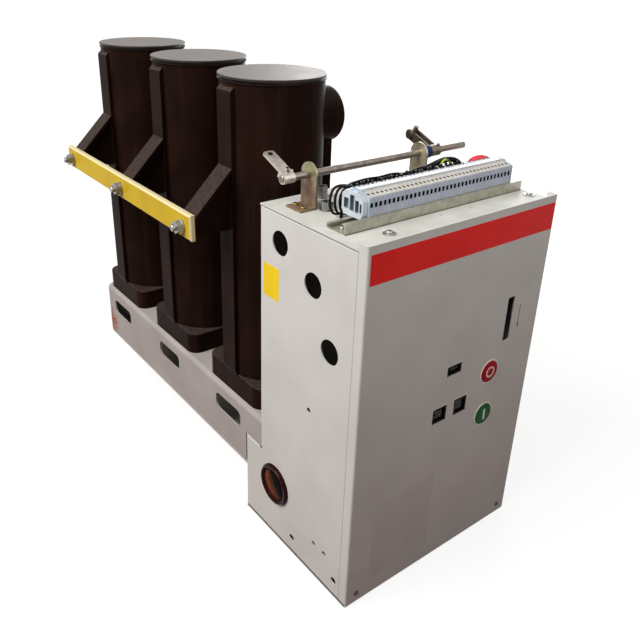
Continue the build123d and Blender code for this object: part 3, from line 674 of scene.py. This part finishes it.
def pan_head(name, radius, height, washer=0.0):
    """A screw's pan head standing on the origin, with a cross recess, over a washer if it has a radius."""
    head = round_bar(name, (0, 0, 0), (0, 0, height), radius, 28)
    pick("EDGE", lambda middle, way: middle.z > height - 0.01 and abs(way.z) < 0.1)
    bpy.ops.mesh.bevel(offset=height * 0.55 * MM, segments=4)
    bpy.ops.object.mode_set(mode="OBJECT")
    for half_x, half_y in ((radius * 0.5, radius * 0.1), (radius * 0.1, radius * 0.5)):
        cutter = block("cutter", (-half_x, -half_y, height * 0.45), (half_x, half_y, height + 1))
        bpy.ops.object.mode_set(mode="OBJECT")
        cut_out(head, cutter)
    if washer:
        plate = round_bar("washer", (0, 0, -washer_thickness), (0, 0, 0), washer, 32)
        pick("EDGE", lambda middle, way: middle.z > -0.01 and abs(way.z) < 0.1)
        bpy.ops.mesh.bevel(offset=0.4 * MM, segments=2)
        bpy.ops.object.mode_set(mode="OBJECT")
        joined([head, plate])
    return head


dusty_zinc = zinc_plated("dusty_zinc_screw", "#8B8983", "#ABA9A2", 0.36)
plate_screw = pan_head("plate_screw_model", 4.6, 3.0, 8.5)
for number, (x, y) in enumerate(((-19.5, -486.0), (252.5, -484.0)), start=1):
    on_the_washer = standing((x, y, top_face + washer_thickness), (0, 0, 1))
    screw = copy_of(plate_screw, f"plate_screw_{number}", on_the_washer)
    finish_piece(screw, dusty_zinc)
bpy.data.objects.remove(plate_screw)
small_screw = pan_head("small_screw_model", 4.0, 3.2)
foot_screws = []
for x in (-55.5, 144.5):
    for y in (-362.5, -345.5):
        on_the_foot = standing((x, y, top_face + bracket_sheet), (0, 0, 1))
        foot_screws.append(copy_of(small_screw, "foot_screws", on_the_foot))
foot_screws = joined(foot_screws)
finish_piece(foot_screws, zinc_plated("yellow_zinc_screw", "#7C6234", "#A68852", 0.3))
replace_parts(foot_screws, "bracket_screws")
dull_zinc = zinc_plated("dull_dark_screw", "#2F2C29", "#45413D", 0.45)
for number, x in enumerate((-64.5, 246.0), start=1):
    on_the_cover = standing((x, cover_face + cover_screw_sink, cover_screw_z), (0, -1, 0))
    screw = copy_of(small_screw, f"cover_screw_{number}", on_the_cover)
    finish_piece(screw, dull_zinc)
on_the_rail = standing((-58.0, -444.5, top_face + rail_sheet), (0, 0, 1))
screw = copy_of(small_screw, "rail_screw", on_the_rail)
finish_piece(screw, dusty_zinc)
bpy.data.objects.remove(small_screw)


# Interlock shaft, levers and brackets
# A round bar of drawn steel in two folded brackets, with clamped levers. All are yellow zinc plated,
# gone dull, and rust has started on the left bracket. Two socket screws clamp the left lever's hub.
# Their sockets are painted near black, and a near-black ring in the hole of its tip paints the hole's shade.

coat("interlock_shaft", zinc_plated("drawn_steel_shaft", "#746A62", "#90867D", 0.34))
coat("left_lever", zinc_plated("yellow_zinc_lever", "#B3A9A0", "#CBC2B8", 0.4))
# The fork's plating is written far darker than the left lever's same zinc: painted shade.
coat("right_lever", zinc_plated("yellow_zinc_fork_painted_shade", "#585044", "#857C6C", 0.34, 0.05))
coat("left_bracket", zinc_plated("yellow_zinc_bracket_rusted", "#8C8769", "#A8A280", 0.42, 0.46, 507 * MM))
coat("right_bracket", zinc_plated("yellow_zinc_bracket", "#B2A78F", "#C6BCA4", 0.42, 0.06))
coat("shaft_bush", moulded("blue_nylon_bush", "#1A2E57", "#233A66", 0.4, 0.1))
coat("plate_studs", bright_zinc)

shaft_place = Vector((side_face + 0.5, -354.0, 505.5))
lever_angle = 22.0
lever_top = 7.0
tip_hole = (8.5, 43.5)
lever_turn = Matrix.Rotation(math.radians(lever_angle), 4, "X")
# Near-black steel that paints the shade in the screws' sockets and in the hole of the lever's tip.
painted_shade_black = zinc_plated("painted_shade_black_steel", "#2A2826", "#3B3835", 0.4)


def on_the_lever(x, y, z, way):
    """The matrix for a place in millimetres on the left lever, counted from the hub's left end."""
    place = shaft_place + lever_turn @ Vector((x, y, z))
    return standing(place, lever_turn @ Vector(way))


socket_screw = round_bar("socket_screw_model", (0, 0, -1.0), (0, 0, 1.6), 2.7, 24)
socket_screw.data.materials.append(bright_zinc)
socket_screw.data.materials.append(painted_shade_black)
pick("FACE", lambda middle, normal: normal.z > 0.9)
bpy.ops.mesh.inset(thickness=0.8 * MM)
bpy.ops.mesh.extrude_region_move(TRANSFORM_OT_translate={"value": (0, 0, -1.0 * MM)})
# The socket's walls and floor take the near black: painted shade.
pick("FACE", lambda middle, normal: middle.z > -0.9 and middle.xy.length < 1.95)
socket_screw.active_material_index = 1
bpy.ops.object.material_slot_assign()
bpy.ops.object.mode_set(mode="OBJECT")
lever_screws = []
for x, y in ((12.8, 9.6), (9.4, 3.0)):
    lever_screws.append(copy_of(socket_screw, "lever_screws", on_the_lever(x, y, lever_top, (0, 0, 1))))
bpy.data.objects.remove(socket_screw)
finish_piece(joined(lever_screws), bright_zinc, "interlock")
# A near-black ring inside the tip's hole, standing in for the hole's shade.
tip_hole_shade = round_bar("lever_tip_hole_shade", (0, 0, -3.2), (0, 0, 0.2), 3.6, 24)
opened(2, 1.2)
bpy.ops.object.mode_set(mode="OBJECT")
tip_hole_shade.data.transform(on_the_lever(*tip_hole, lever_top, (0, 0, 1)))
finish_piece(tip_hole_shade, painted_shade_black, "interlock")


# Terminal rail
# A rail folded from steel strip, with its lips turned in, screwed on the top plate. Its yellow zinc
# plating has gone a dull, cloudy beige.

coat("terminal_rail", zinc_plated("yellow_zinc_rail", "#A09C8E", "#B7B3A5", 0.48))


# Terminals
# Thirty-six clamps of pale blue-grey polyamide, each with a funnel for the wire on both sides
# and a screw in its shoulder, pushed on the rail side by side. One is modelled and copied. The faces
# that look up are painted a warmer cream: painted warm light. The funnels are painted near black,
# the screw wells brown and the marker groove dark blue-grey: painted shade.

terminal_count = 36
terminal_pitch = 7.4
terminal_gap = 0.35
row_start = -27.5
terminal_depth = 42.0
shoulder_depth = 40.4
crest_depth = 14.8
crest_top = 13.6
row_front = -457.0
row_middle = row_front + terminal_depth / 2
row_rear = row_front + terminal_depth
row_foot = 475.0
bore_from_middle = 14.2
bore_radius = 2.3
terminal_width = terminal_pitch - terminal_gap
terminal_middle = row_start + terminal_width / 2
polyamide = moulded("blue_grey_polyamide", "#ACB2C0", "#BABFCC", 0.42, 0.12)
# A warmer cream for the faces that look up: painted warm light.
shoulder_painted_warm_light = moulded("polyamide_painted_warm_light", "#B9B6AD", "#C7C5BE", 0.42, 0.12)
# Near black for the funnels' walls: painted shade.
funnel_shadow = moulded("polyamide_funnel_painted_shade", "#0B0D14", "#14171F", 0.6, 0.1)
# Dark brown for the walls of the screw wells: painted shade.
screw_well_painted_shade = moulded("polyamide_screw_well_painted_shade", "#6E5C4E", "#857262", 0.5, 0.1)
# Dark blue-grey for the groove's walls: painted shade.
groove_shadow = moulded("polyamide_groove_painted_shade", "#39455A", "#465369", 0.5, 0.1)


def raised(rise, narrower):
    """Extrudes the selected face upwards in millimetres and narrows it along Y."""
    bpy.ops.mesh.extrude_region_move(TRANSFORM_OT_translate={"value": (0, 0, rise * MM)})
    bpy.ops.transform.resize(value=(1, narrower, 1))


def softened(piece, width):
    """Bevels all the sharp edges of a piece a little, as a mould leaves them."""
    bevel = piece.modifiers.new("softened", "BEVEL")
    bevel.width = width * MM
    bevel.segments = 1
    bevel.limit_method = "ANGLE"
    bpy.context.view_layer.objects.active = piece
    bpy.ops.object.modifier_apply(modifier=bevel.name)


terminal = block("terminal_row", (row_start, row_front, row_foot),
                 (row_start + terminal_width, row_rear, row_foot + 23.5))
pick("FACE", lambda middle, normal: normal.z > 0.9)
raised(1.0, shoulder_depth / terminal_depth)
raised(3.4, crest_depth / shoulder_depth)
raised(1.6, crest_top / crest_depth)
terminal.data.materials.append(polyamide)
terminal.data.materials.append(shoulder_painted_warm_light)
# Faces that look up take the warm cream: painted warm light.
pick("FACE", lambda middle, normal: normal.z > 0.3)
terminal.active_material_index = 1
bpy.ops.object.material_slot_assign()
bpy.ops.object.mode_set(mode="OBJECT")
for side in (-1, 1):
    outside, inside = row_middle + side * 22.0, row_middle + side * 12.0
    funnel = block("funnel", (terminal_middle - 1.7, min(outside, inside), row_foot + 10.6),
                   (terminal_middle + 1.7, max(outside, inside), row_foot + 16.9))
    pick("FACE", lambda middle, normal: normal.y * side > 0.9)
    bpy.ops.transform.resize(value=(1.25, 1, 1.0))
    bore_y = row_middle + side * bore_from_middle
    bpy.ops.object.mode_set(mode="OBJECT")
    bore = round_bar("bore", (terminal_middle, bore_y, row_foot + 20),
                     (terminal_middle, bore_y, row_foot + 32), bore_radius, 14)
    bpy.ops.object.mode_set(mode="OBJECT")
    # The cut walls of the funnels and bores take their painted shade.
    for cutter, inner in ((funnel, funnel_shadow), (bore, screw_well_painted_shade)):
        cutter.data.materials.append(inner)
        cut_out(terminal, cutter)
groove = block("groove", (row_start - 1, row_middle - 6.2, row_foot + 28.2),
               (row_start + 9, row_middle - 4.8, row_foot + 31))
bpy.ops.object.mode_set(mode="OBJECT")
groove.data.materials.append(groove_shadow)
cut_out(terminal, groove)
softened(terminal, 0.25)


def in_a_row(model):
    """Joins a copy of the model for each terminal of the row into one mesh."""
    steps = [Matrix.Translation((number * terminal_pitch * MM, 0, 0)) for number in range(1, terminal_count)]
    return joined([model] + [copy_of(model, model.name, step) for step in steps])


in_a_row(terminal)
finish_piece(terminal, polyamide)
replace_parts(terminal, "terminal_strip")

front_bore = row_middle - bore_from_middle
clamp_screw = round_bar("clamp_screws", (terminal_middle, front_bore, row_foot + 20),
                        (terminal_middle, front_bore, row_foot + 25.2), 1.7, 12)
pick("FACE", lambda middle, normal: normal.z > 0.9)
bpy.ops.mesh.inset(thickness=0.35 * MM, depth=-0.3 * MM)
bpy.ops.object.mode_set(mode="OBJECT")
in_a_row(clamp_screw)
finish_piece(clamp_screw, zinc_plated("terminal_screw", "#6A4632", "#7E563E", 0.4))


# Marker strip
# White moulded markers, one to a terminal, snap into the top of the row. They are left blank, and
# look a little cooler than the clamps' shoulders.

marker_white = moulded("white_marker_plastic", "#C9CCD4", "#D8DAE0", 0.4)
marker = block("marker_strip", (row_start + 0.5, row_middle - 4.3, row_foot + 28.6),
               (row_start + terminal_width - 0.3, row_middle + 5.6, row_foot + 29.8))
pick("FACE", lambda middle, normal: normal.z > 0.9)
bpy.ops.mesh.inset(thickness=0.5 * MM)
bpy.ops.transform.translate(value=(0, 0, 0.4 * MM))
bpy.ops.object.mode_set(mode="OBJECT")
in_a_row(marker)
finish_piece(marker, marker_white)


# End clamps
# A hooked clamp of white polyamide on the left, ribbed on its outer side, and slender blue-grey end
# plates hold the terminals together on the rail.

clamp = block("left_end_clamp", (-36.5, -455.0, 477.0), (-28.6, -416.0, 494.0))
white_polyamide = moulded("white_polyamide_clamp", "#B6C0C5", "#C8D1D5", 0.4, 0.12)
pocket_shade = moulded("polyamide_in_shade", "#77838D", "#87939C", 0.5, 0.1)
clamp.data.materials.append(white_polyamide)
pick("FACE", lambda middle, normal: normal.z > 0.9)
raised(3.5, 0.9)
bpy.ops.transform.translate(value=(0, 1.5 * MM, 0))
raised(5.5, 0.62)
pick("FACE", lambda middle, normal: normal.z < -0.9)
raised(-4.0, 0.86)
raised(-2.0, 1.0)
bpy.ops.object.mode_set(mode="OBJECT")
pockets = ((-452.6, -449.4, 479.0, 491.0), (-447.6, -441.0, 478.0, 493.5), (-439.2, -431.0, 478.0, 498.5),
           (-429.2, -420.0, 479.0, 492.5))
for front, back, low, high in pockets:
    pocket = block("pocket", (-38.0, front, low), (-31.0, back, high))
    pick("EDGE", lambda middle, way: abs(way.x) > 0.9)
    bpy.ops.mesh.bevel(offset=1.2 * MM, segments=3)
    bpy.ops.object.mode_set(mode="OBJECT")
    pocket.data.materials.append(pocket_shade)
    cut_out(clamp, pocket)
hook_hole = round_bar("hook_hole", (-32.5, -443.0, 495.0), (-32.5, -443.0, 508.0), 2.2, 18)
bpy.ops.object.mode_set(mode="OBJECT")
cut_out(clamp, hook_hole)
well = round_bar("well", (-32.5, -431.0, 498.0), (-32.5, -431.0, 508.0), 2.6, 18)
bpy.ops.object.mode_set(mode="OBJECT")
cut_out(clamp, well)
softened(clamp, 0.5)
finish_piece(clamp, white_polyamide)
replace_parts(clamp, "end_clamps")

plate_polyamide = moulded("end_plate_polyamide", "#9FB0BE", "#AEBDCA", 0.42)
for name, start, end in (("left_end_plate", -28.4, -27.7), ("right_end_plate", 239.2, 241.6)):
    plate = block(name, (start, row_front - 0.6, row_foot - 1.0), (end, row_rear + 0.6, row_foot + 24.0))
    pick("FACE", lambda middle, normal: normal.z > 0.9)
    raised(4.4, 16.0 / 43.2)
    raised(2.0, 14.6 / 16.0)
    pick("EDGE", lambda middle, way: abs(way.x) > 0.9)
    bpy.ops.mesh.bevel(offset=0.8 * MM, segments=2)
    finish_piece(plate, plate_polyamide)


# Wires behind the terminals
# Each terminal's rear side holds a black stranded wire of 2.5 mm2 in a white marker sleeve. The wires
# rise over the row's rear edge and dive into the harness, which goes down through the plate. Their
# PVC is a deep black with a soft sheen, and the earth wire's is green and yellow.

wire_radius = 1.6
harness_y = -408.5
harness_wires = 7
harness_radius = 3.2
rear_bore = row_middle + bore_from_middle
first_low_wire = 27
wobble = random.Random(7)
pvc = moulded("black_pvc_insulation", "#0B0B0B", "#141413", 0.35, 0.1)


def wires(name, routes, radius, material):
    """Round wires that follow smooth curves through routes given in millimetres."""
    curve = bpy.data.curves.new(name, "CURVE")
    curve.dimensions = "3D"
    curve.bevel_depth = radius * MM
    curve.bevel_resolution = 2
    curve.resolution_u = 6
    curve.use_fill_caps = True
    for route in routes:
        spline = curve.splines.new("NURBS")
        spline.points.add(len(route) - 1)
        for point, place in zip(spline.points, route):
            point.co = (*(Vector(place) * MM), 1.0)
        spline.order_u = 3
        spline.use_endpoint_u = True
    piece = bpy.data.objects.new(name, curve)
    bpy.context.collection.objects.link(piece)
    curve.materials.append(material)
    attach(piece, "breaker_frame")
    return piece


sleeve_length = 8.5
sleeve_radius = 2.3
sleeve = round_bar("sleeve_model", (0, 0, 0), (0, 0, sleeve_length), sleeve_radius, 14)
pick("FACE", lambda middle, normal: normal.z > 0.9)
bpy.ops.mesh.inset(thickness=0.6 * MM, depth=-1.5 * MM)
bpy.ops.object.mode_set(mode="OBJECT")
tails = []
sleeves = []
for number in range(terminal_count):
    x = terminal_middle + number * terminal_pitch
    lean = wobble.uniform(-3.2, 3.2)
    peak = wobble.uniform(502.6, 507.4)
    drop = 0.0
    if number >= first_low_wire:
        peak, drop = 502.6, 11.0
    tails.append([
        (x, rear_bore, 495.0),
        (x + lean * 0.3, rear_bore + 1.2, 500.5),
        (x + lean, rear_bore + 3.0, peak),
        (x + lean + 4, rear_bore + 7.5, peak - drop / 3),
        (x + lean + 10, harness_y + 1.0, 500.5 - drop),
        (x + lean + 19, harness_y + 2.0, 498.0 - drop),
    ])
    up_the_wire = standing((x, rear_bore, 494.5), (lean * 0.3, 1.4, 9.0))
    sleeves.append(copy_of(sleeve, "wire_sleeves", up_the_wire))
bpy.data.objects.remove(sleeve)
finish_piece(joined(sleeves), marker_white)
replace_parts(wires("terminal_wires", tails, wire_radius, pvc), "wire_bundle")

harness = []
for number in range(harness_wires):
    turn = number * 2 * math.pi / harness_wires
    across, up = harness_radius * math.cos(turn), harness_radius * math.sin(turn)
    height = 500.5 + 0.8 * up
    arch = 502.0 + 0.8 * up + wobble.uniform(-1, 2)
    harness.append([
        (-30.0 + across, harness_y + across, 461.0),
        (-30.5 + across, harness_y + across, 476.0),
        (-24.0 + up, harness_y + across, height),
        (2.0, harness_y + 0.7 * up, height + wobble.uniform(-3, 4)),
        (26.0, harness_y + across, height + wobble.uniform(-3, 4)),
        (52.0, harness_y - 0.7 * up, height + wobble.uniform(-3, 4)),
        (78.0, harness_y + across, height + wobble.uniform(-3, 4)),
        (104.0, harness_y - 0.7 * up, height + wobble.uniform(-3, 4)),
        (122.0, harness_y + across, height + 2),
        (142.0, harness_y + across, arch + 6),
        (166.0, harness_y + across, arch + 8),
        (186.0, harness_y + across, arch - 2),
        (194.0 + up, harness_y + across, 482.0),
        (194.0 + up, harness_y + across, 461.0),
    ])
wires("harness_wires", harness, wire_radius, pvc)

loops = []
for number, (reach, drop) in enumerate(((-46.0, 0.0), (-40.5, 1.5), (-35.0, 3.0))):
    y = harness_y + 3.4 - 3 * number
    loops.append([
        (4.0, y, 492.0),
        (-16.0, y, 500.0),
        (reach + 6, y, 503.0 - drop),
        (reach - 1, y, 490.0),
        (reach, y, 474.0),
        (reach + 8, y, 464.0),
        (-14.0, y, 464.5 + number),
        (8.0, y, 468.0),
        (20.0, y, 484.0),
    ])
wires("left_wire_loops", loops, wire_radius + 0.1, pvc)
earth = [[
    (138.0, row_rear - 3, 489.0),
    (139.0, row_rear + 1, 499.0),
    (143.0, row_rear + 2, 509.0),
    (155.0, harness_y - 3, 511.0),
    (170.0, harness_y - 1, 499.0),
    (180.0, harness_y, 488.0),
]]
earth_pvc = moulded("green_yellow_insulation", "#9DB42C", "#B9CC3E", 0.4)
wires("earth_wire", earth, wire_radius + 0.1, earth_pvc)


# Mushroom button
# A red moulded head on a black collar, at the right-hand end of the top plate. The polished mould
# leaves the head glossy, and the collar has the dull skin of an eroded one.

coat("mushroom_button", moulded("red_mushroom_plastic", "#CE2A3A", "#D93846", 0.2))
coat("mushroom_base", moulded("black_collar_plastic", "#1A1A1A", "#242424", 0.4))


# Hole plug
# A plug of dark red-brown plastic pressed into the left side: a rolled rim round a glossy dish. The dish
# is painted amber on its lower left, fading to near black at its upper right: a painted reflection.

plug_place = Vector((side_face, -346.5, 15.5))
plug_radius = 33.5
dish_radius = 27.0
dish_profile = ((2.5, -3.0), (3.0, 0.8), (1.5, 3.6), (6.0, -1.6), (8.0, -1.4))
dish_brown, tree = new_finish("brown_plastic_painted_reflection")
here = add(tree, "TexCoord", {}, "Object")
from_middle = add(tree, "VectorMath", {0: here, 1: plug_place * MM}, operation="SUBTRACT")
across = add(tree, "VectorMath", {0: from_middle, 1: (0, 0.8, -0.6)}, "Value", operation="DOT_PRODUCT")
blotches = add(tree, "TexNoise", {"Vector": here, "Scale": 1 / (12 * MM), "Detail": 3.0})
shifted = add(tree, "Math", {0: blotches, 1: 24 * MM, 2: across}, operation="MULTIPLY_ADD")
# The amber share grows towards the dish's lower left: painted reflection.
amber_reflection = add(tree, "MapRange", {"Value": shifted, "From Min": 6 * MM, "From Max": 22 * MM})
brown_and_reflection = add(tree, "Mix", {0: amber_reflection, 6: linear("#120706"), 7: linear("#6E3517")}, 2, data_type="RGBA")
shader = add(tree, "BsdfPrincipled", {
    "Base Color": brown_and_reflection,
    "Roughness": add(tree, "MapRange", {"Value": blotches, "To Min": 0.1, "To Max": 0.22}),
    "IOR": 1.5,
    "Specular IOR Level": 0.012,
})
add(tree, "OutputMaterial", {"Surface": shader})
plug = round_bar("hole_plug_dish", plug_place + Vector((12.0, 0, 0)),
                 plug_place - Vector((3.0, 0, 0)), plug_radius, 64)
pick("FACE", lambda middle, normal: normal.x < -0.9)
for ring_width, step in dish_profile:
    bpy.ops.mesh.inset(thickness=ring_width * MM)
    bpy.ops.transform.translate(value=(step * MM, 0, 0))
plug.data.materials.append(moulded("maroon_rim_plastic", "#220809", "#300D10", 0.2, 0.04))
plug.data.materials.append(dish_brown)
pick("FACE", lambda middle, normal: (middle - plug_place).yz.length < dish_radius)
plug.active_material_index = 1
bpy.ops.object.material_slot_assign()
finish_piece(plug, dish_brown, angle=50)
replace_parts(plug, "hole_plug")


# Seams of the housing
# The sheets butt against each other: the top plate on the side panel, the side panel on the bottom
# plate and on the cover's flange. Thin near-black strips paint the shade in the joints of the top and
# bottom plates with the side panel and along the rail's foot. A grey strip paints a soft shade beside
# the cover's flange, and two near-black dots paint the shade in two empty rivet holes in the top plate.

# Near black for the joints' strips and the holes' dots: painted shade.
seam_painted_shade = printed_film("painted_shade_in_the_seam", "#1C1917", "#2C2825", 0.6, 0.05)
side_skin = side_face - 0.12
edge_round = 0.15 * MM
for name, low, high in (
        ("bottom_seam", (side_skin, -519.0, -84.4), (side_face, -268.0, -81.6)),
        ("top_seam", (side_skin, -505.0, 458.2), (side_face, -309.0, 458.9)),
):
    seam = block(name, low, high)
    pick("FACE", lambda middle, normal: normal.x < -0.9)
    bpy.ops.mesh.inset(thickness=edge_round)
    finish_piece(seam, seam_painted_shade)
# A grey strip beside the cover's flange: painted shade.
flange_shade = printed_film("shade_at_the_flange", "#8E8C87", "#9A9892", 0.6, 0.05)
flange_painted_shade = block("cover_flange_painted_shade", (side_skin, -505.6, -81.6), (side_face, -505.0, 459.0))
pick("FACE", lambda middle, normal: normal.x < -0.9)
bpy.ops.mesh.inset(thickness=edge_round)
finish_piece(flange_painted_shade, flange_shade)
# A dark line along the rail's foot: painted shade.
rail_low, rail_high = (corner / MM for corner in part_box("terminal_rail"))
shade_strip_width = 1.1
shade_strip_height = 0.25
rail_seam = block("rail_seam", (rail_low.x, rail_low.y - shade_strip_width, top_face),
                  (rail_high.x, rail_low.y, top_face + shade_strip_height))
pick("FACE", lambda middle, normal: normal.z > 0.9)
bpy.ops.mesh.inset(thickness=0.2 * MM)
finish_piece(rail_seam, seam_painted_shade)
hole_shade_dots = []
# Near-black dots for the two empty rivet holes: painted shade.
for x, y in ((81.5, -475.5), (137.5, -476.0)):
    hole_shade_dot = round_bar("rivet_hole_painted_shade", (x, y, top_face - 0.5), (x, y, top_face + 0.15), 1.4, 16)
    pick("FACE", lambda middle, normal: normal.z > 0.9)
    bpy.ops.mesh.inset(thickness=0.4 * MM, depth=-0.2 * MM)
    bpy.ops.object.mode_set(mode="OBJECT")
    hole_shade_dots.append(hole_shade_dot)
finish_piece(joined(hole_shade_dots), seam_painted_shade)


low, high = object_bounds()
